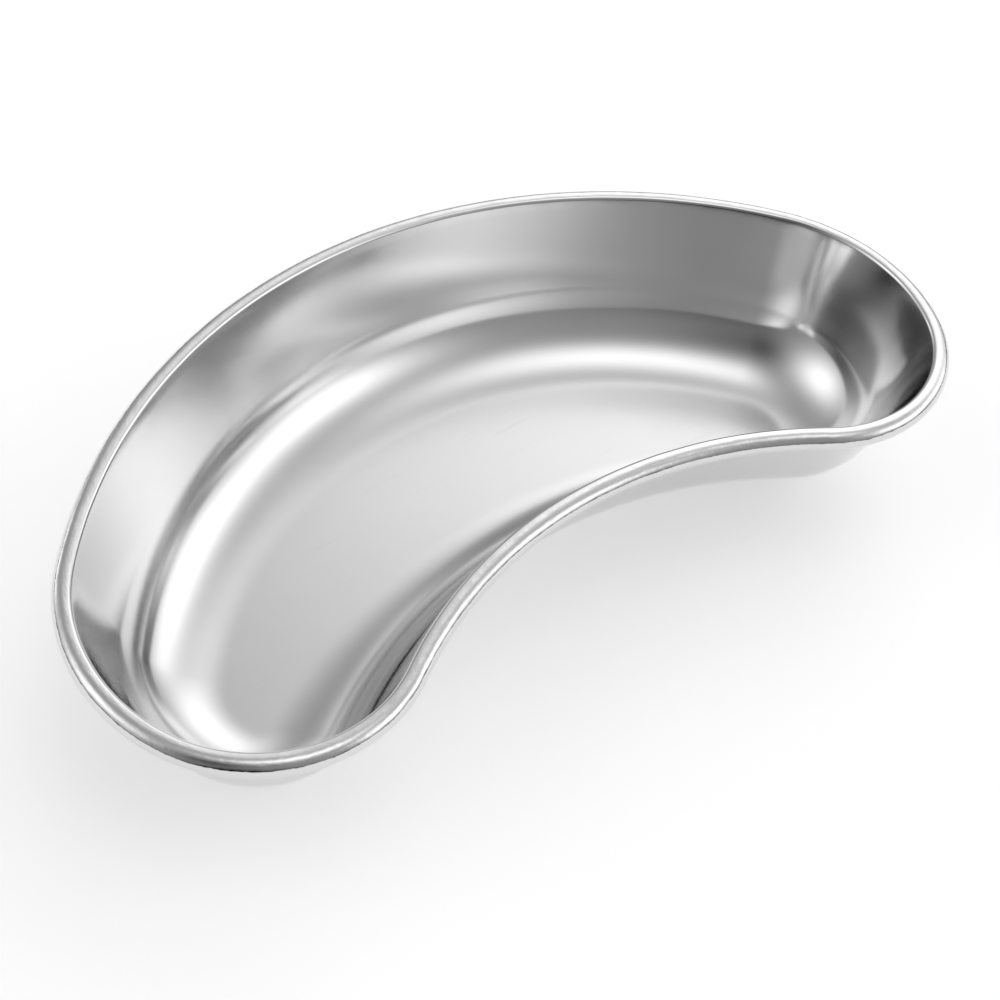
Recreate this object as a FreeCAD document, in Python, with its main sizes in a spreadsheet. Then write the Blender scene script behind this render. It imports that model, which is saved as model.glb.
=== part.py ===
"""Kidney dish, 250 mm: one stainless sheet, deep drawn, trimmed, and curled outwards at the rim.

Frame: +X along the length, +Y from the hollow side towards the round back, +Z up.
The origin is on the underside of the floor, below the middle of the rim's outline.
Millimetres and degrees."""

import FreeCAD, Part

import math
import os

import Sketcher

doc = FreeCAD.newDocument("kidney_dish")


# ---------------------------------------------------------------- driving dimensions

sheet = doc.addObject("Spreadsheet::Sheet", "Dims")
DIMENSIONS = [
    ("length", 250.0, "over the curled rim, tip to tip"),
    ("width", 132.0, "over the curled rim, back to lobes"),
    ("height", 43.5, "underside of the floor to the top of the rim"),
    ("gauge", 0.7, "sheet thickness"),
    ("draft", 18.0, "lean of the wall away from the vertical"),
    ("floor_radius", 25.0, "inside radius between floor and wall"),
    ("back_radius", 141.0, "plan arcs of the rim's bend line: the round back"),
    ("shoulder_radius", 47.5, "the shoulders, between back and lobes"),
    ("lobe_radius", 35.5, "the two lobes"),
    ("hollow_radius", 120.0, "the hollow side, which curves inwards"),
    ("rim_width", 4.5, "bend line to the outside of the curl"),
    ("rim_depth", 5.4, "top to bottom of the curl"),
    ("bend_radius", 1.2, "outside radius where the wall turns into the rim"),
    ("curl_sweep", 230.0, "how far round the curl goes from its top"),
]
for row, (name, value, meaning) in enumerate(DIMENSIONS, start=1):
    sheet.set("A%d" % row, name)
    sheet.set("B%d" % row, str(value))
    sheet.set("C%d" % row, meaning)
    sheet.setAlias("B%d" % row, name)
doc.recompute()


def dim(name):
    return float(getattr(sheet, name))


# ---------------------------------------------------------------- helpers for sketches

def origin_plane(body, role):
    return next(f for f in body.Origin.OriginFeatures if f.Role == role)


def new_sketch(body, name, plane):
    sketch = body.newObject("Sketcher::SketchObject", name)
    sketch.AttachmentSupport = [(origin_plane(body, plane), "")]
    sketch.MapMode = "FlatFace"
    return sketch


def arc(centre, radius, start, end):
    """A counter-clockwise arc in the sketch plane, angles in radians."""
    circle = Part.Circle(FreeCAD.Vector(centre[0], centre[1], 0), FreeCAD.Vector(0, 0, 1), radius)
    return Part.ArcOfCircle(circle, start, end)


def line(start, end):
    return Part.LineSegment(FreeCAD.Vector(start[0], start[1], 0), FreeCAD.Vector(end[0], end[1], 0))


def bind(sketch, constraint, name, expression):
    """Adds a sized constraint under a name and ties its value to the sheet."""
    index = sketch.addConstraint(constraint)
    sketch.renameConstraint(index, name)
    sketch.setExpression("Constraints." + name, expression)


START, END, CENTRE = 1, 2, 3
ORIGIN, X_AXIS, Y_AXIS = -1, -1, -2


# ---------------------------------------------------------------- the plan outline

def plan_centres():
    """Centres of the back, shoulder, lobe and hollow arcs, right-hand side, from the sheet."""
    back = (0.0, dim("width") / 2 - dim("rim_width") - dim("back_radius"))
    shoulder_x = dim("length") / 2 - dim("rim_width") - dim("shoulder_radius")
    reach = dim("back_radius") - dim("shoulder_radius")
    shoulder = (shoulder_x, back[1] + math.sqrt(reach**2 - shoulder_x**2))
    lobe_y = dim("rim_width") + dim("lobe_radius") - dim("width") / 2
    reach = dim("shoulder_radius") - dim("lobe_radius")
    lobe = (shoulder_x + math.sqrt(reach**2 - (lobe_y - shoulder[1]) ** 2), lobe_y)
    reach = dim("hollow_radius") + dim("lobe_radius")
    hollow = (0.0, lobe_y - math.sqrt(reach**2 - lobe[0] ** 2))
    return back, shoulder, lobe, hollow


def kidney_sketch(body, name, inset, inset_formula):
    """The closed outline of six tangent arcs, a given distance inside the rim's bend line."""
    sketch = new_sketch(body, name, "XY_Plane")
    back, shoulder, lobe, hollow = plan_centres()
    to_shoulder = math.atan2(shoulder[1] - back[1], shoulder[0] - back[0])
    to_lobe = math.atan2(lobe[1] - shoulder[1], lobe[0] - shoulder[0])
    to_hollow = math.atan2(hollow[1] - lobe[1], hollow[0] - lobe[0])
    half_hollow = to_hollow + math.pi
    # clockwise round the dish from the back: each arc's own angles run counter-clockwise
    sketch.addGeometry(arc(back, dim("back_radius") - inset, to_shoulder, math.pi - to_shoulder))
    sketch.addGeometry(arc(shoulder, dim("shoulder_radius") - inset, to_lobe, to_shoulder))
    sketch.addGeometry(arc(lobe, dim("lobe_radius") - inset, to_hollow, to_lobe))
    sketch.addGeometry(arc(hollow, dim("hollow_radius") + inset, half_hollow, math.pi - half_hollow))
    left_lobe = (-lobe[0], lobe[1])
    left_shoulder = (-shoulder[0], shoulder[1])
    sketch.addGeometry(arc(left_lobe, dim("lobe_radius") - inset, math.pi - to_lobe, math.pi - to_hollow))
    sketch.addGeometry(
        arc(left_shoulder, dim("shoulder_radius") - inset, math.pi - to_shoulder, math.pi - to_lobe)
    )
    back_arc, shoulder_arc, lobe_arc, hollow_arc, left_lobe_arc, left_shoulder_arc = range(6)
    joints = [
        (back_arc, START, shoulder_arc, END),
        (shoulder_arc, START, lobe_arc, END),
        (lobe_arc, START, hollow_arc, START),
        (hollow_arc, END, left_lobe_arc, END),
        (left_lobe_arc, START, left_shoulder_arc, END),
        (left_shoulder_arc, START, back_arc, END),
    ]
    for joint in joints:
        sketch.addConstraint(Sketcher.Constraint("Tangent", *joint))
    sketch.addConstraint(Sketcher.Constraint("PointOnObject", back_arc, CENTRE, Y_AXIS))
    sketch.addConstraint(Sketcher.Constraint("PointOnObject", hollow_arc, CENTRE, Y_AXIS))
    radii = [
        (back_arc, "back", "-"),
        (shoulder_arc, "shoulder", "-"),
        (lobe_arc, "lobe", "-"),
        (hollow_arc, "hollow", "+"),
    ]
    for index, which, sign in radii:
        radius = dim(which + "_radius") + (inset if sign == "+" else -inset)
        formula = "Dims.%s_radius %s (%s)" % (which, sign, inset_formula)
        bind(sketch, Sketcher.Constraint("Radius", index, radius), which + "_arc", formula)
    sketch.addConstraint(Sketcher.Constraint("Equal", lobe_arc, left_lobe_arc))
    sketch.addConstraint(Sketcher.Constraint("Equal", shoulder_arc, left_shoulder_arc))
    bind(
        sketch,
        Sketcher.Constraint("DistanceY", back_arc, CENTRE, ORIGIN, START, -back[1]),
        "back_centre",
        "Dims.back_radius + Dims.rim_width - Dims.width / 2",
    )
    bind(
        sketch,
        Sketcher.Constraint("DistanceX", ORIGIN, START, shoulder_arc, CENTRE, shoulder[0]),
        "shoulder_centre",
        "Dims.length / 2 - Dims.rim_width - Dims.shoulder_radius",
    )
    bind(
        sketch,
        Sketcher.Constraint("DistanceY", lobe_arc, CENTRE, ORIGIN, START, -lobe[1]),
        "lobe_centre",
        "Dims.width / 2 - Dims.rim_width - Dims.lobe_radius",
    )
    sketch.addConstraint(Sketcher.Constraint("Horizontal", left_lobe_arc, CENTRE, lobe_arc, CENTRE))
    return sketch


# ---------------------------------------------------------------- the section of wall and rim

def section_corners():
    """Where the section's lines meet its arcs, as (outward, height) from the bend line at floor level."""
    lean = math.radians(dim("draft"))
    height, gauge = dim("height"), dim("gauge")
    fillet_height = gauge + dim("floor_radius")
    fillet = (
        -(height - fillet_height) * math.tan(lean) - dim("floor_radius") / math.cos(lean),
        fillet_height,
    )
    bend = (dim("bend_radius") * math.tan((math.pi / 2 - lean) / 2), height - dim("bend_radius"))
    curl = (dim("rim_width") - dim("rim_depth") / 2, height - dim("rim_depth") / 2)
    return lean, fillet, bend, curl


def section_sketch(body, name):
    """The sheet cut through the back: floor fillet, leaning wall, bend, and outward curl."""
    sketch = new_sketch(body, name, "YZ_Plane")
    lean, fillet, bend, curl = section_corners()
    gauge = dim("gauge")
    bend_line = dim("width") / 2 - dim("rim_width")

    def place(centre, radius=0.0, angle=0.0):
        return (
            bend_line + centre[0] + radius * math.cos(angle),
            centre[1] + radius * math.sin(angle),
        )

    down, up = -math.pi / 2, math.pi / 2
    outer_bend, inner_bend = dim("bend_radius"), dim("bend_radius") - gauge
    outer_curl, inner_curl = dim("rim_depth") / 2, dim("rim_depth") / 2 - gauge
    inner_fillet, outer_fillet = dim("floor_radius"), dim("floor_radius") + gauge
    curl_end = up - math.radians(dim("curl_sweep"))
    wall_normal = math.pi - lean
    pieces = [
        # the face that holds the contents, from the floor up and over the rim
        arc(place(fillet), inner_fillet, down, -lean),
        line(place(fillet, inner_fillet, -lean), place(bend, outer_bend, wall_normal)),
        arc(place(bend), outer_bend, up, wall_normal),
        line(place(bend, outer_bend, up), place(curl, outer_curl, up)),
        arc(place(curl), outer_curl, curl_end, up),
        # the cut edge of the curl
        line(place(curl, outer_curl, curl_end), place(curl, inner_curl, curl_end)),
        # the other face, back down to the floor
        arc(place(curl), inner_curl, curl_end, up),
        line(place(curl, inner_curl, up), place(bend, inner_bend, up)),
        arc(place(bend), inner_bend, up, wall_normal),
        line(place(bend, inner_bend, wall_normal), place(fillet, outer_fillet, -lean)),
        arc(place(fillet), outer_fillet, down, -lean),
        line(place(fillet, outer_fillet, down), place(fillet, inner_fillet, down)),
    ]
    for piece in pieces:
        sketch.addGeometry(piece)
    (
        fillet_in, wall_in, bend_in, land_in, curl_in, cut_edge,
        curl_out, land_out, bend_out, wall_out, fillet_out, floor_edge,
    ) = range(12)
    smooth = [
        (fillet_in, END, wall_in, START),
        (wall_in, END, bend_in, END),
        (bend_in, START, land_in, START),
        (land_in, END, curl_in, END),
        (curl_out, END, land_out, START),
        (land_out, END, bend_out, START),
        (bend_out, END, wall_out, START),
        (wall_out, END, fillet_out, END),
    ]
    for joint in smooth:
        sketch.addConstraint(Sketcher.Constraint("Tangent", *joint))
    square = [
        (curl_in, START, cut_edge, START),
        (fillet_out, START, floor_edge, START),
    ]
    for joint in square:
        sketch.addConstraint(Sketcher.Constraint("Perpendicular", *joint))
    sketch.addConstraint(Sketcher.Constraint("Coincident", cut_edge, END, curl_out, START))
    sketch.addConstraint(Sketcher.Constraint("Coincident", floor_edge, END, fillet_in, START))
    for one, other in [(curl_in, curl_out), (bend_in, bend_out), (fillet_in, fillet_out)]:
        sketch.addConstraint(Sketcher.Constraint("Coincident", one, CENTRE, other, CENTRE))
    sketch.addConstraint(Sketcher.Constraint("Horizontal", land_in))
    sketch.addConstraint(Sketcher.Constraint("Vertical", floor_edge))
    sketch.addConstraint(Sketcher.Constraint("PointOnObject", floor_edge, START, X_AXIS))
    radii = [
        ("fillet_face", fillet_in, inner_fillet, "Dims.floor_radius"),
        ("fillet_rear", fillet_out, outer_fillet, "Dims.floor_radius + Dims.gauge"),
        ("bend_face", bend_in, outer_bend, "Dims.bend_radius"),
        ("bend_rear", bend_out, inner_bend, "Dims.bend_radius - Dims.gauge"),
        ("curl_face", curl_in, outer_curl, "Dims.rim_depth / 2"),
        ("curl_rear", curl_out, inner_curl, "Dims.rim_depth / 2 - Dims.gauge"),
    ]
    for label, index, radius, formula in radii:
        bind(sketch, Sketcher.Constraint("Radius", index, radius), label, formula)
    sweeps = [
        ("wall_lean", fillet_in, up - lean, "(90 - Dims.draft) * 1 deg"),
        ("curl_turn", curl_in, up - curl_end, "Dims.curl_sweep * 1 deg"),
    ]
    for label, index, angle, formula in sweeps:
        bind(sketch, Sketcher.Constraint("Angle", index, angle), label, formula)
    places = [
        ("DistanceY", "rim_top", land_in, START, dim("height"), "Dims.height"),
        (
            "DistanceX", "bend_place", bend_in, CENTRE, place(bend)[0],
            "Dims.width / 2 - Dims.rim_width + Dims.bend_radius * tan((90 - Dims.draft) / 2 * 1 deg)",
        ),
        (
            "DistanceX", "curl_place", curl_in, CENTRE, place(curl)[0],
            "Dims.width / 2 - Dims.rim_depth / 2",
        ),
    ]
    for kind, label, index, point, distance, formula in places:
        size = Sketcher.Constraint(kind, ORIGIN, START, index, point, distance)
        bind(sketch, size, label, formula)
    return sketch


# ---------------------------------------------------------------- the dish

FLOOR_INSET = (
    "(Dims.height - Dims.gauge - Dims.floor_radius) * tan(Dims.draft * 1 deg)"
    " + Dims.floor_radius / cos(Dims.draft * 1 deg)"
)


def dish():
    """The drawn sheet: its section swept round the outline, and the flat floor inside it."""
    body = doc.addObject("PartDesign::Body", "Dish")
    body.Label = "dish"
    outline = kidney_sketch(body, "Outline", 0.0, "0")
    wall = body.newObject("PartDesign::AdditivePipe", "WallAndRim")
    wall.Profile = section_sketch(body, "Section")
    wall.Spine = (outline, ["Edge%d" % number for number in range(1, 7)])
    wall.Mode = "Frenet"
    wall.Transition = "Transformed"
    fillet = section_corners()[1]
    floor = body.newObject("PartDesign::Pad", "Floor")
    floor.Profile = kidney_sketch(body, "FloorOutline", -fillet[0], FLOOR_INSET)
    floor.setExpression("Length", "Dims.gauge")
    body.Placement = FreeCAD.Placement()
    return body


sub_parts = [dish()]
doc.recompute()


# ---------------------------------------------------------------- check and write

for item in doc.Objects:
    if "Invalid" in item.State or "Error" in item.State:
        raise RuntimeError("%s failed: %s" % (item.Name, item.State))
for sub_part in sub_parts:
    if sub_part.Shape.isNull() or not sub_part.Shape.isValid():
        raise RuntimeError("%s has no valid shape" % sub_part.Label)

os.makedirs("parts", exist_ok=True)
for sub_part in sub_parts:
    sub_part.Shape.exportStep("parts/%s.step" % sub_part.Label)
    print(sub_part.Label, "%.0f mm3" % sub_part.Shape.Volume)
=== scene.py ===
import math

import bpy
from mathutils import Matrix, Vector


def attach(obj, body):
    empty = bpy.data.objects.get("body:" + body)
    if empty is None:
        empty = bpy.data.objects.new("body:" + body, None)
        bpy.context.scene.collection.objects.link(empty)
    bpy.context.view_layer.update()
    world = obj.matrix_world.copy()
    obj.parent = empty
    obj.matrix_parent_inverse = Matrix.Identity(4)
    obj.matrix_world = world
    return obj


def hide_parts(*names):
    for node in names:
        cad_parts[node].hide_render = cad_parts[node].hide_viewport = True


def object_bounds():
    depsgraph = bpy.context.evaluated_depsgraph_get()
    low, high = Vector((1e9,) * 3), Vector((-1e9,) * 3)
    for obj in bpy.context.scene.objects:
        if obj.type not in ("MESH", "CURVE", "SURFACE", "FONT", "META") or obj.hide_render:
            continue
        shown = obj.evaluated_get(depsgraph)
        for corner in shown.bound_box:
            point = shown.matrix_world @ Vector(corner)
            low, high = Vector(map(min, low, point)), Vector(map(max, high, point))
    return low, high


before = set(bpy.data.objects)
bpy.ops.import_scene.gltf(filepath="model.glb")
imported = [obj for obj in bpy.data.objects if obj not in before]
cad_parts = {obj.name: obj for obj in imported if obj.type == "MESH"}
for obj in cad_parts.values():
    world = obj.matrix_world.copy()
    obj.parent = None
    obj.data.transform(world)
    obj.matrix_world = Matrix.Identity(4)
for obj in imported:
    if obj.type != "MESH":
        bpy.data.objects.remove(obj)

cad_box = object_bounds()


# ---------------------------------------------------------------- camera
# A standing person's view of the dish: above the near lobe, looking down across the bowl,
# with the camera tipped a little anticlockwise.

MM = 0.001                               # the sizes below are written in millimetres
aim = Vector((-5.2, -15.1, 20.0)) * MM
turn, tilt, lean = math.radians(-44.2), math.radians(49.5), math.radians(8.4)
stand_off = 448 * MM
level_part = math.cos(tilt)
towards_camera = Vector((math.sin(turn) * level_part, -math.cos(turn) * level_part, math.sin(tilt)))
lens = bpy.data.cameras.new("camera")
lens.sensor_width = 36.0
lens.lens = 63.8
lens.clip_start = 0.01
camera = bpy.data.objects.new("camera", lens)
stand = Matrix.Translation(aim + towards_camera * stand_off)
level = towards_camera.to_track_quat("Z", "Y").to_matrix().to_4x4()
camera.matrix_world = stand @ level @ Matrix.Rotation(lean, 4, "Z")
bpy.context.scene.collection.objects.link(camera)
bpy.context.scene.camera = camera
bpy.context.scene.view_settings.view_transform = "Standard"


# ---------------------------------------------------------------- table top
# A light table: matt white opal sheet, glowing a little from below, so that what stands on it
# throws only a faint shadow. It runs out of every view.

table_reach = 3.0
table_mesh = bpy.data.meshes.new("table_top")
corners = [(x * table_reach, y * table_reach, 0.0) for x, y in ((-1, -1), (1, -1), (1, 1), (-1, 1))]
table_mesh.from_pydata(corners, [], [(0, 1, 2, 3)])
table_top = bpy.data.objects.new("table_top", table_mesh)
bpy.context.scene.collection.objects.link(table_top)
opal = bpy.data.materials.new("opal sheet")
opal.use_nodes = True
opal_face = opal.node_tree.nodes["Principled BSDF"]
opal_face.inputs["Base Color"].default_value = (0.9, 0.9, 0.9, 1)
opal_face.inputs["Roughness"].default_value = 0.6
opal_face.inputs["Emission Color"].default_value = (1, 1, 1, 1)
opal_face.inputs["Emission Strength"].default_value = 0.36
table_mesh.materials.append(opal)


# ---------------------------------------------------------------- studio light
# A white light tent round the table, with soft panels behind its cloth. A black card and the
# person behind the camera show in the steel as two soft dark shapes. Each is given by its turn
# from the camera's side, its angle down from overhead and its spread, in degrees, and its light,
# which is below nought for the two dark ones.

tent_light = 0.37
gap_height, gap_darkness = 0.07, 0.9     # the dark gap where the cloth stops short of the table
camera_turn = math.degrees(math.atan2(towards_camera.y, towards_camera.x))
panels = {
    "left panel": (-80, 55, 15, 1.2),
    "right panel": (85, 60, 12, 1.4),
    "right panel, further back": (120, 65, 12, 1.5),
    "back panel": (170, 55, 15, 1.35),
    "low panel, back left": (-120, 80, 8, 1.2),
    "overhead panel": (90, 10, 12, 1.2),
    "black card, left of the camera": (-20, 40, 14, -0.25),
    "person behind the camera": (0, 90, 20, -0.4),
}
tent = bpy.data.worlds.new("light tent")
bpy.context.scene.world = tent
tent.use_nodes = True
cloth = tent.node_tree
ray = cloth.nodes.new("ShaderNodeTexCoord")


def tent_math(operation, *numbers):
    """A math node in the tent's cloth, fed with plain numbers or other nodes."""
    made = cloth.nodes.new("ShaderNodeMath")
    made.operation = operation
    for socket, number in zip(made.inputs, numbers):
        if isinstance(number, bpy.types.Node):
            cloth.links.new(next(out for out in number.outputs if out.enabled), socket)
        else:
            socket.default_value = number
    return made


glow = tent_light
for name, (turned, down, spread, light) in panels.items():
    heading, down = math.radians(camera_turn + turned), math.radians(down)
    facing = cloth.nodes.new("ShaderNodeVectorMath")
    facing.operation = "DOT_PRODUCT"
    facing.label = name
    cloth.links.new(ray.outputs["Generated"], facing.inputs[0])
    sideways = math.sin(down)
    aimed = (sideways * math.cos(heading), sideways * math.sin(heading), math.cos(down))
    facing.inputs[1].default_value = aimed
    tightness = 1 / math.radians(spread) ** 2
    fall_off = tent_math("EXPONENT", tent_math("MULTIPLY_ADD", facing, tightness, -tightness))
    glow = tent_math("MULTIPLY_ADD", fall_off, light, glow)

# Rays that run nearly level meet the gap.
ray_parts = cloth.nodes.new("ShaderNodeSeparateXYZ")
cloth.links.new(ray.outputs["Generated"], ray_parts.inputs[0])
slope = tent_math("MULTIPLY", 0.0, 1 / gap_height)
cloth.links.new(ray_parts.outputs["Z"], slope.inputs[0])
gap = tent_math("EXPONENT", tent_math("MULTIPLY", tent_math("MULTIPLY", slope, slope), -1.0))
glow = tent_math("MULTIPLY", glow, tent_math("MULTIPLY_ADD", gap, -gap_darkness, 1.0))
glow = tent_math("MAXIMUM", glow, 0.0)
cloth.links.new(glow.outputs[0], cloth.nodes["Background"].inputs["Strength"])
cloth.nodes["Background"].inputs["Color"].default_value = (1, 1, 1, 1)


# ---------------------------------------------------------------- dish
# One blank of stainless sheet, deep drawn to the kidney shape, trimmed, and its edge curled
# outwards and down into a hollow bead. Floor, fillet, wall and curl are the same metal.

gauge = 0.7 * MM
wall_lean = math.radians(18)
floor_fillet = 25.0 * MM
back_radius, shoulder_radius, lobe_radius, hollow_radius = 141 * MM, 47.5 * MM, 35.5 * MM, 120 * MM
rim_width, curl_radius, bend_radius = 4.5 * MM, 2.7 * MM, 1.2 * MM
curl_turn = math.radians(230)
floor_margin = 1.2 * MM          # the flat strip that leads into the fillet
length, width, height = (cad_box[1][i] - cad_box[0][i] for i in range(3))


def on_circle(centre, radius, angle):
    """The point of a circle at an angle, in radians."""
    return (centre[0] + radius * math.cos(angle), centre[1] + radius * math.sin(angle))


def arc(centre, radius, start, end, count):
    """Points along an arc, without its last one, angles in radians."""
    return [on_circle(centre, radius, start + (end - start) * k / count) for k in range(count)]


def straight(start, end, count):
    """Evenly spaced points along a straight run, without its last one."""
    return [tuple(a + (b - a) * k / count for a, b in zip(start, end)) for k in range(count)]


def bend_line():
    """The plan line where the wall turns into the rim: six tangent arcs, clockwise from the back."""
    back_y = width / 2 - rim_width - back_radius
    shoulder_x = length / 2 - rim_width - shoulder_radius
    shoulder_y = back_y + math.sqrt((back_radius - shoulder_radius) ** 2 - shoulder_x**2)
    lobe_y = rim_width + lobe_radius - width / 2
    lobe_x = shoulder_x + math.sqrt((shoulder_radius - lobe_radius) ** 2 - (lobe_y - shoulder_y) ** 2)
    hollow_y = lobe_y - math.sqrt((hollow_radius + lobe_radius) ** 2 - lobe_x**2)
    to_shoulder = math.atan2(shoulder_y - back_y, shoulder_x)
    to_lobe = math.atan2(lobe_y - shoulder_y, lobe_x - shoulder_x)
    to_hollow = math.atan2(hollow_y - lobe_y, -lobe_x)
    half_turn = math.pi
    points = arc((0, back_y), back_radius, half_turn - to_shoulder, to_shoulder, 150)
    points += arc((shoulder_x, shoulder_y), shoulder_radius, to_shoulder, to_lobe, 50)
    points += arc((lobe_x, lobe_y), lobe_radius, to_lobe, to_hollow, 70)
    points += arc((0, hollow_y), hollow_radius, to_hollow + half_turn, -to_hollow, 120)
    points += arc((-lobe_x, lobe_y), lobe_radius, -half_turn - to_hollow, -half_turn - to_lobe, 70)
    far_shoulder = (-shoulder_x, shoulder_y)
    points += arc(far_shoulder, shoulder_radius, -half_turn - to_lobe, -half_turn - to_shoulder, 50)
    return points


def section():
    """The sheet's cut face as one open line: up the inner face, over the curl, down the outer face."""
    up = math.pi / 2
    rows = 10                            # steps up the straight wall
    fillet_z = gauge + floor_fillet
    fillet = (-(height - fillet_z) * math.tan(wall_lean) - floor_fillet / math.cos(wall_lean), fillet_z)
    bend = (bend_radius * math.tan((up - wall_lean) / 2), height - bend_radius)
    curl = (rim_width - curl_radius, height - curl_radius)
    wall_side = math.pi - wall_lean
    inner = [(fillet[0] - floor_margin, gauge)]
    inner += arc(fillet, floor_fillet, -up, -wall_lean, 26)
    foot = on_circle(fillet, floor_fillet, -wall_lean)
    top = on_circle(bend, bend_radius, wall_side)
    inner += straight(foot, top, rows)
    inner += arc(bend, bend_radius, wall_side, up, 8)
    end = up - curl_turn
    inner += arc(curl, curl_radius, up, end, 36)
    inner.append(on_circle(curl, curl_radius, end))
    outer = arc(curl, curl_radius - gauge, end, up, 20)
    outer += arc(bend, bend_radius - gauge, up, wall_side, 6)
    foot = on_circle(fillet, floor_fillet + gauge, -wall_lean)
    top = on_circle(bend, bend_radius - gauge, wall_side)
    outer += straight(top, foot, rows)
    outer += arc(fillet, floor_fillet + gauge, -wall_lean, -up, 18)
    outer += [(fillet[0], 0.0), (fillet[0] - floor_margin, 0.0)]
    return inner + outer


def drawn_line(name, points, closed):
    """A curve object of straight runs between the points."""
    curve = bpy.data.curves.new(name, "CURVE")
    curve.dimensions = "3D"
    curve.twist_mode = "Z_UP"
    spline = curve.splines.new("POLY")
    spline.points.add(len(points) - 1)
    for point, (x, y) in zip(spline.points, points):
        point.co = (x, y, 0, 1)
    spline.use_cyclic_u = closed
    line = bpy.data.objects.new(name, curve)
    bpy.context.scene.collection.objects.link(line)
    return line


outline = drawn_line("bend_line", bend_line(), True)
cut_face = drawn_line("section", [(-out, -up) for out, up in section()], False)

tree = bpy.data.node_groups.new("draw the dish", "GeometryNodeTree")
tree.is_modifier = True
sockets = tree.interface
sockets.new_socket("Geometry", in_out="INPUT", socket_type="NodeSocketGeometry")
sockets.new_socket("Section", in_out="INPUT", socket_type="NodeSocketObject")
for label in ("Gauge", "Wall Bow", "Bow Size", "Curl Waver", "Waver Size", "Curl Depth"):
    sockets.new_socket(label, in_out="INPUT", socket_type="NodeSocketFloat")
sockets.new_socket("Seed", in_out="INPUT", socket_type="NodeSocketInt")
sockets.new_socket("Steel", in_out="INPUT", socket_type="NodeSocketMaterial")
sockets.new_socket("Geometry", in_out="OUTPUT", socket_type="NodeSocketGeometry")


def node(kind, **settings):
    """A node of the drawing tree, with its own settings."""
    made = tree.nodes.new(kind)
    for name, value in settings.items():
        setattr(made, name, value)
    return made


def feed(target, socket, value):
    """Plugs a node's first output, or a (node, output) pair, or a plain value into a socket."""
    if isinstance(value, tuple) and isinstance(value[0], bpy.types.Node):
        tree.links.new(value[0].outputs[value[1]], target.inputs[socket])
    elif isinstance(value, bpy.types.Node):
        tree.links.new(value.outputs[0], target.inputs[socket])
    else:
        target.inputs[socket].default_value = value
    return target


def joined(kind, first, second, operation):
    """A two-handed node, such as a sum, with both of its inputs fed."""
    made = node(kind, operation=operation)
    feed(made, 0, first)
    return feed(made, 1, second)


given = node("NodeGroupInput")
info = feed(node("GeometryNodeObjectInfo"), "Object", (given, "Section"))
run = node("GeometryNodeSplineParameter")


def with_run(geometry, label):
    """The same line, each point carrying how far along the line it lies."""
    kept = node("GeometryNodeCaptureAttribute")
    kept.capture_items.new("FLOAT", label)
    feed(kept, "Geometry", geometry)
    return feed(kept, label, (run, "Length"))


around = with_run((given, "Geometry"), "around")
across = with_run((info, "Geometry"), "across")
sweep = feed(node("GeometryNodeCurveToMesh"), "Curve", (around, "Geometry"))
feed(sweep, "Profile Curve", (across, "Geometry"))
flipped = feed(node("GeometryNodeFlipFaces"), "Mesh", (sweep, "Mesh"))

# How far round and how far across the sheet each corner lies is kept as its UV, for the marks
# that follow the metal. The last strip of faces ends at the full length and not at nought.
whole_run = feed(node("GeometryNodeCurveLength"), "Curve", (given, "Geometry"))
strip = feed(node("GeometryNodeFieldOnDomain", domain="FACE"), "Value", (around, "around"))
jump = joined("ShaderNodeMath", strip, (around, "around"), "SUBTRACT")
quarter_run = joined("ShaderNodeMath", whole_run, 0.25, "MULTIPLY")
closing = joined("ShaderNodeMath", jump, quarter_run, "GREATER_THAN")
missing_run = joined("ShaderNodeMath", closing, whole_run, "MULTIPLY")
unwrapped = joined("ShaderNodeMath", (around, "around"), missing_run, "ADD")
lie = feed(node("ShaderNodeCombineXYZ"), "X", unwrapped)
feed(lie, "Y", (across, "across"))
on_corners = {"data_type": "FLOAT2", "domain": "CORNER"}
walls = feed(node("GeometryNodeStoreNamedAttribute", **on_corners), "Geometry", flipped)
feed(walls, "Name", "UVMap")
feed(walls, "Value", lie)

rings = node("GeometryNodeInputMeshEdgeNeighbors")
single = node("FunctionNodeCompare", data_type="INT", operation="EQUAL")
feed(single, 2, rings)
feed(single, 3, 1)
place = node("GeometryNodeInputPosition")
apart = feed(node("ShaderNodeSeparateXYZ"), "Vector", place)
half_gauge = joined("ShaderNodeMath", (given, "Gauge"), 0.5, "MULTIPLY")


def floor_sheet(comparison, lift):
    """The flat floor that fills one of the two open rings, above or below half the gauge."""
    side = node("FunctionNodeCompare", operation=comparison)
    feed(side, 0, (apart, "Z"))
    feed(side, 1, half_gauge)
    edge_line = feed(node("GeometryNodeMeshToCurve"), "Mesh", walls)
    feed(edge_line, "Selection", joined("FunctionNodeBooleanMath", single, side, "AND"))
    filled = feed(node("GeometryNodeFillCurve", mode="NGONS"), "Curve", edge_line)
    raised = feed(node("GeometryNodeTransform"), "Geometry", filled)
    feed(raised, "Translation", feed(node("ShaderNodeCombineXYZ"), "Z", lift))
    laid = feed(node("GeometryNodeStoreNamedAttribute", **on_corners), "Geometry", raised)
    feed(laid, "Name", "UVMap")
    return feed(laid, "Value", place)


inside_floor = floor_sheet("GREATER_THAN", (given, "Gauge"))
underside = feed(node("GeometryNodeFlipFaces"), "Mesh", floor_sheet("LESS_THAN", 0.0))
both = node("GeometryNodeJoinGeometry")
for sheet in (underside, inside_floor, walls):
    feed(both, "Geometry", sheet)
closed = feed(node("GeometryNodeMergeByDistance"), "Geometry", both)
feed(closed, "Distance", 0.002 * MM)

# A drawn wall is never quite true, and a curl rolled by a wheel wavers along its run. Both are
# slow shifts of the sheet as a whole, so its gauge stays even, and the floor stays flat.


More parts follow.
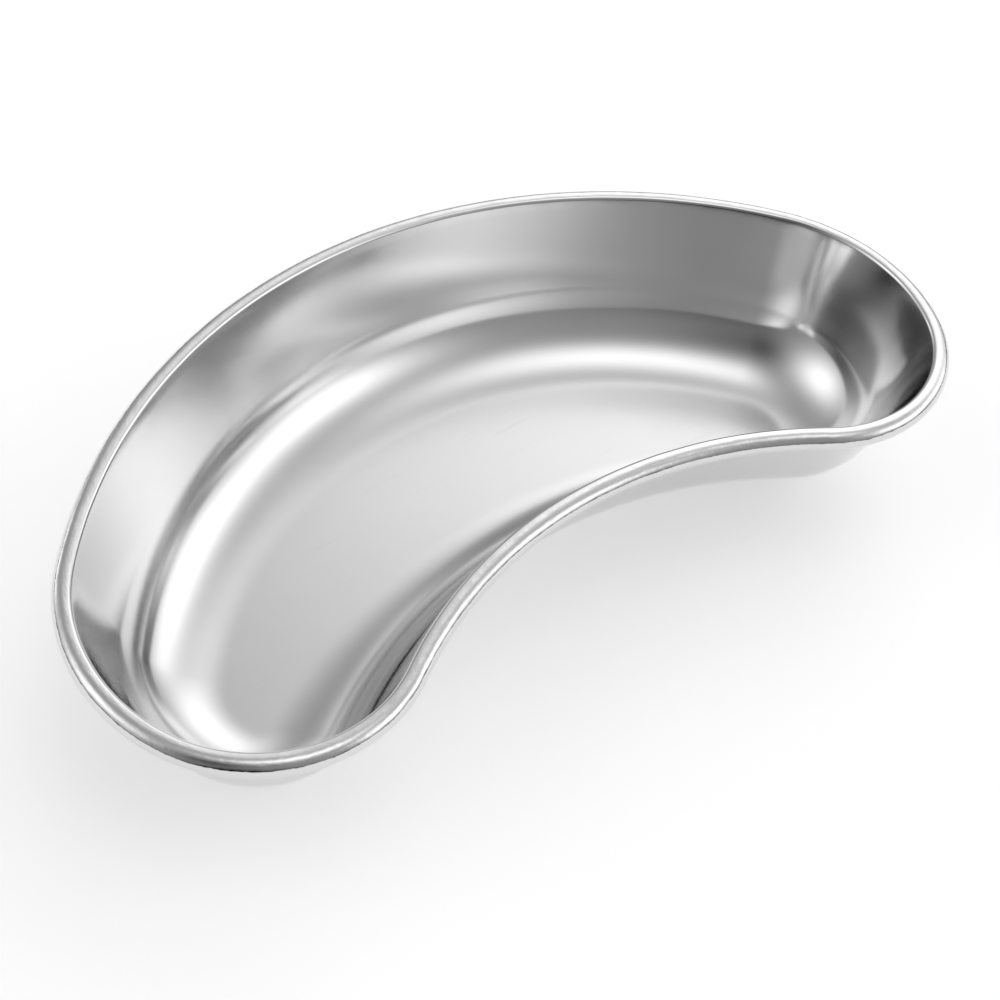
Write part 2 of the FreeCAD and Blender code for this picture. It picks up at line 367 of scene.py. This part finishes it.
def waver(geometry, amount, size, from_z, to_z):
    """Shifts the sheet by a smooth random amount that fades in between two heights."""
    noise = feed(node("ShaderNodeTexNoise", noise_dimensions="4D"), "Vector", place)
    feed(noise, "Scale", joined("ShaderNodeMath", 1.0, (given, size), "DIVIDE"))
    feed(noise, "Detail", 1.0)
    feed(noise, "W", (given, "Seed"))
    centred = joined("ShaderNodeVectorMath", (noise, "Color"), (0.5, 0.5, 0.5), "SUBTRACT")
    fade = feed(node("ShaderNodeMapRange", interpolation_type="SMOOTHSTEP"), "Value", (apart, "Z"))
    feed(fade, "From Min", from_z)
    feed(fade, "From Max", to_z)
    strength = joined("ShaderNodeMath", fade, (given, amount), "MULTIPLY")
    shift = feed(node("ShaderNodeVectorMath", operation="SCALE"), 0, centred)
    feed(shift, "Scale", strength)
    moved = feed(node("GeometryNodeSetPosition"), "Geometry", geometry)
    return feed(moved, "Offset", shift)


top = node("ShaderNodeValue")
top.outputs[0].default_value = height
under_curl = joined("ShaderNodeMath", top, (given, "Curl Depth"), "SUBTRACT")
bow_starts, bow_full = 3 * MM, 15 * MM
bowed = waver(closed, "Wall Bow", "Bow Size", bow_starts, bow_full)
rolled = waver(bowed, "Curl Waver", "Waver Size", under_curl, top)
smooth = feed(node("GeometryNodeSetShadeSmooth"), "Geometry", rolled)
realize = feed(node("GeometryNodeRealizeInstances"), "Geometry", smooth)
finish = feed(node("GeometryNodeSetMaterial"), "Geometry", realize)
feed(finish, "Material", (given, "Steel"))
feed(node("NodeGroupOutput"), "Geometry", finish)

# The steel: bright-drawn walls, a satin floor, a buffed curl, faint polishing lines that run
# round the wall, a few hairline scratches on the floor where instruments have lain.

steel = bpy.data.materials.new("stainless steel")
steel.use_nodes = True
coat = steel.node_tree
face = coat.nodes["Principled BSDF"]
face.inputs["Metallic"].default_value = 1.0


def shade(kind, settings, **fed):
    """A shader node: its settings, then its sockets fed with numbers or with other nodes."""
    made = coat.nodes.new(kind)
    for name, value in settings.items():
        setattr(made, name, value)
    for name, value in fed.items():
        socket = made.inputs[int(name[1:])] if name[1:].isdigit() else made.inputs[name.replace("_", " ")]
        if isinstance(value, bpy.types.NodeSocket):
            coat.links.new(value, socket)
        else:
            socket.default_value = value
    return next(out for out in made.outputs if out.enabled)


def reckon(operation, *numbers):
    """A number worked out from plain numbers or other nodes."""
    return shade("ShaderNodeMath", {"operation": operation}, **{f"_{i}": n for i, n in enumerate(numbers)})


def between(value, low, high, out_low, out_high):
    """Carries a value from one range smoothly into another."""
    ends = {"From_Min": low, "From_Max": high, "To_Min": out_low, "To_Max": out_high}
    return shade("ShaderNodeMapRange", {"interpolation_type": "SMOOTHSTEP"}, Value=value, **ends)


def speckle(where, size, detail=2.0, stretch=(1.0, 1.0, 1.0), turned=0.0):
    """Random cloudiness of a real size in metres, stretched along any axis."""
    laid = shade("ShaderNodeMapping", {}, Vector=where, Rotation=(0, 0, turned), Scale=stretch)
    return shade("ShaderNodeTexNoise", {}, Vector=laid, Scale=1 / size, Detail=detail)


where = coat.nodes.new("ShaderNodeTexCoord").outputs["Object"]
along_sheet = shade("ShaderNodeUVMap", {"uv_map": "UVMap"})
height_up = coat.nodes.new("ShaderNodeSeparateXYZ")
coat.links.new(where, height_up.inputs[0])
satin_ends, bright_starts = 1.0 * MM, 6.0 * MM  # heights up the fillet
on_floor = between(height_up.outputs["Z"], satin_ends, bright_starts, 1.0, 0.0)
sheet_run = coat.nodes.new("ShaderNodeSeparateXYZ")
coat.links.new(along_sheet, sheet_run.inputs[0])
curl_starts, curl_ends = 60 * MM, 71 * MM       # how far across the sheet, from the floor
on_curl = between(sheet_run.outputs["Y"], curl_starts - MM, curl_starts + MM, 0.0, 1.0)
on_curl = reckon("MULTIPLY", on_curl, between(sheet_run.outputs["Y"], curl_ends, curl_ends + MM, 1.0, 0.0))

clouding = speckle(where, 22 * MM, 3.0)
grain = speckle(where, 0.16 * MM)
polish_lines = speckle(along_sheet, 0.35 * MM, 3.0, (0.02, 1.0, 1.0))
scratches = 0.0
for turned, reach in ((0.4, 0.017), (1.15, 0.013), (2.3, 0.02)):
    line = speckle(where, 0.45 * MM, 1.0, (reach, 1.0, 1.0), turned)
    scratches = reckon("ADD", scratches, between(line, 0.72, 0.78, 0.0, 1.0))
scratches = reckon("MULTIPLY", scratches, on_floor)

wall_roughness, satin_more, buffed_less = 0.12, 0.07, 0.035
rough = reckon("MULTIPLY_ADD", on_floor, satin_more, wall_roughness)
rough = reckon("MULTIPLY_ADD", on_curl, -buffed_less, rough)
rough = reckon("MULTIPLY_ADD", reckon("SUBTRACT", clouding, 0.5), 0.08, rough)
rough = reckon("MULTIPLY_ADD", reckon("SUBTRACT", polish_lines, 0.5), 0.05, rough)
rough = reckon("MULTIPLY_ADD", reckon("SUBTRACT", grain, 0.5), 0.04, rough)
rough = reckon("MULTIPLY_ADD", scratches, 0.04, rough)
coat.links.new(rough, face.inputs["Roughness"])

steel_grey = 0.7
tone = reckon("MULTIPLY_ADD", reckon("SUBTRACT", clouding, 0.5), 0.05, steel_grey)
tone = reckon("MULTIPLY_ADD", scratches, -0.02, tone)
tone = shade("ShaderNodeCombineColor", {}, Red=tone, Green=tone, Blue=tone)
coat.links.new(tone, face.inputs["Base Color"])

relief = reckon("MULTIPLY", reckon("SUBTRACT", polish_lines, 0.5), 0.0012 * MM)
relief = reckon("MULTIPLY_ADD", grain, 0.0004 * MM, relief)
slow = speckle(where, 38 * MM, 1.0)
relief = reckon("MULTIPLY_ADD", reckon("MULTIPLY", slow, on_floor), 0.06 * MM, relief)
roller_marks = speckle(along_sheet, 2.0 * MM, 3.0, (0.5, 1.0, 1.0))
relief = reckon("MULTIPLY_ADD", reckon("MULTIPLY", roller_marks, on_curl), 0.1 * MM, relief)
curl_lines = speckle(along_sheet, 0.5 * MM, 2.0, (0.04, 1.0, 1.0))
relief = reckon("MULTIPLY_ADD", reckon("MULTIPLY", curl_lines, on_curl), 0.012 * MM, relief)
bump = shade("ShaderNodeBump", {}, Strength=1.0, Distance=1.0, Height=relief)
coat.links.new(bump, face.inputs["Normal"])

drawing = outline.modifiers.new("draw the dish", "NODES")
drawing.node_group = tree
settings = {
    "Section": cut_face,
    "Gauge": gauge,
    "Wall Bow": 0.35 * MM,
    "Bow Size": 55 * MM,
    "Curl Waver": 0.12 * MM,
    "Waver Size": 9 * MM,
    "Curl Depth": 5 * MM,
    "Seed": 4,
    "Steel": steel,
}
for item in sockets.items_tree:
    if item.name in settings:
        drawing[item.identifier] = settings[item.name]
bpy.context.view_layer.update()
pressed = bpy.data.meshes.new_from_object(outline.evaluated_get(bpy.context.evaluated_depsgraph_get()))
pressed.materials.clear()
pressed.materials.append(steel)
for polygon in pressed.polygons:
    polygon.material_index = 0
dish = bpy.data.objects.new("kidney_dish", pressed)
bpy.context.scene.collection.objects.link(dish)
bpy.data.objects.remove(outline)
bpy.data.objects.remove(cut_face)
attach(dish, "root")
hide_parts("dish")
